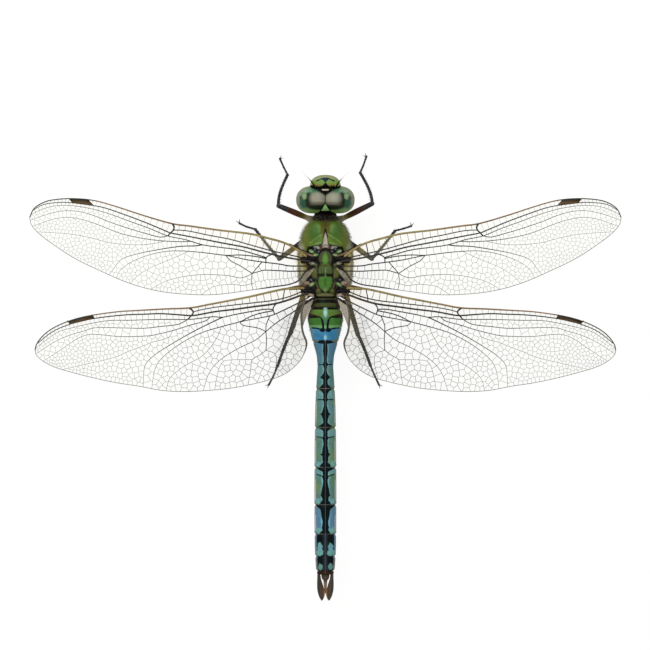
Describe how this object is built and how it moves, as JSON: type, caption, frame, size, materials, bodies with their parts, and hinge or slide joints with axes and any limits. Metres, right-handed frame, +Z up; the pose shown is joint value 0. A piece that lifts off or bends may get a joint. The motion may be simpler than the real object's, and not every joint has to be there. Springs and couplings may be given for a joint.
{
  "type": "dragonfly",
  "caption": "Large green and blue dragonfly with spread clear wings, standing on its legs, life size.",
  "frame": {"origin": "under the middle of the whole animal, on the plane the feet stand on", "axes": "+Z up, the head points along -Y, the animal's left side is +X"},
  "size_m": [0.1072, 0.0816, 0.0154],
  "materials": {
    "thorax_shell": "satin green cuticle with olive sides, black seams and pinkish ridges",
    "abdomen_shell": "satin blue and green cuticle with a black jagged band down the back",
    "head_shell": "glossy green face with black markings, black and green vertex",
    "eye": "faceted compound eye, grey over green and teal, softly shining",
    "wing_membrane": "clear thin membrane between dark veins, brown cell near the tip",
    "leg_shell": "satin black cuticle with fine spines, red-brown on the front femora",
    "claspers": "dark brown cuticle, amber where it is thin"
  },
  "bodies": {
    "root": {"head": "head_shell", "face": "head_shell", "mouth": "head_shell", "eye_left": "eye", "eye_right": "eye", "antenna_left": "leg_shell", "antenna_right": "leg_shell", "neck": "thorax_shell", "prothorax": "thorax_shell", "thorax": "thorax_shell", "wing_fore_left": "wing_membrane", "wing_fore_right": "wing_membrane", "wing_hind_left": "wing_membrane", "wing_hind_right": "wing_membrane", "abdomen_01": "abdomen_shell", "abdomen_02": "abdomen_shell", "abdomen_03": "abdomen_shell", "abdomen_04": "abdomen_shell", "abdomen_05": "abdomen_shell", "abdomen_06": "abdomen_shell", "abdomen_07": "abdomen_shell", "abdomen_08": "abdomen_shell", "abdomen_09": "abdomen_shell", "abdomen_10": "abdomen_shell", "cercus_left": "claspers", "cercus_right": "claspers", "epiproct": "claspers", "leg_fore_left_coxa": "leg_shell", "leg_fore_left_femur": "leg_shell", "leg_fore_left_tibia": "leg_shell", "leg_fore_left_tarsus": "leg_shell", "leg_fore_right_coxa": "leg_shell", "leg_fore_right_femur": "leg_shell", "leg_fore_right_tibia": "leg_shell", "leg_fore_right_tarsus": "leg_shell", "leg_mid_left_coxa": "leg_shell", "leg_mid_left_femur": "leg_shell", "leg_mid_left_tibia": "leg_shell", "leg_mid_left_tarsus": "leg_shell", "leg_mid_right_coxa": "leg_shell", "leg_mid_right_femur": "leg_shell", "leg_mid_right_tibia": "leg_shell", "leg_mid_right_tarsus": "leg_shell", "leg_hind_left_coxa": "leg_shell", "leg_hind_left_femur": "leg_shell", "leg_hind_left_tibia": "leg_shell", "leg_hind_left_tarsus": "leg_shell", "leg_hind_right_coxa": "leg_shell", "leg_hind_right_femur": "leg_shell", "leg_hind_right_tibia": "leg_shell", "leg_hind_right_tarsus": "leg_shell"}
  },
  "joints": []
}
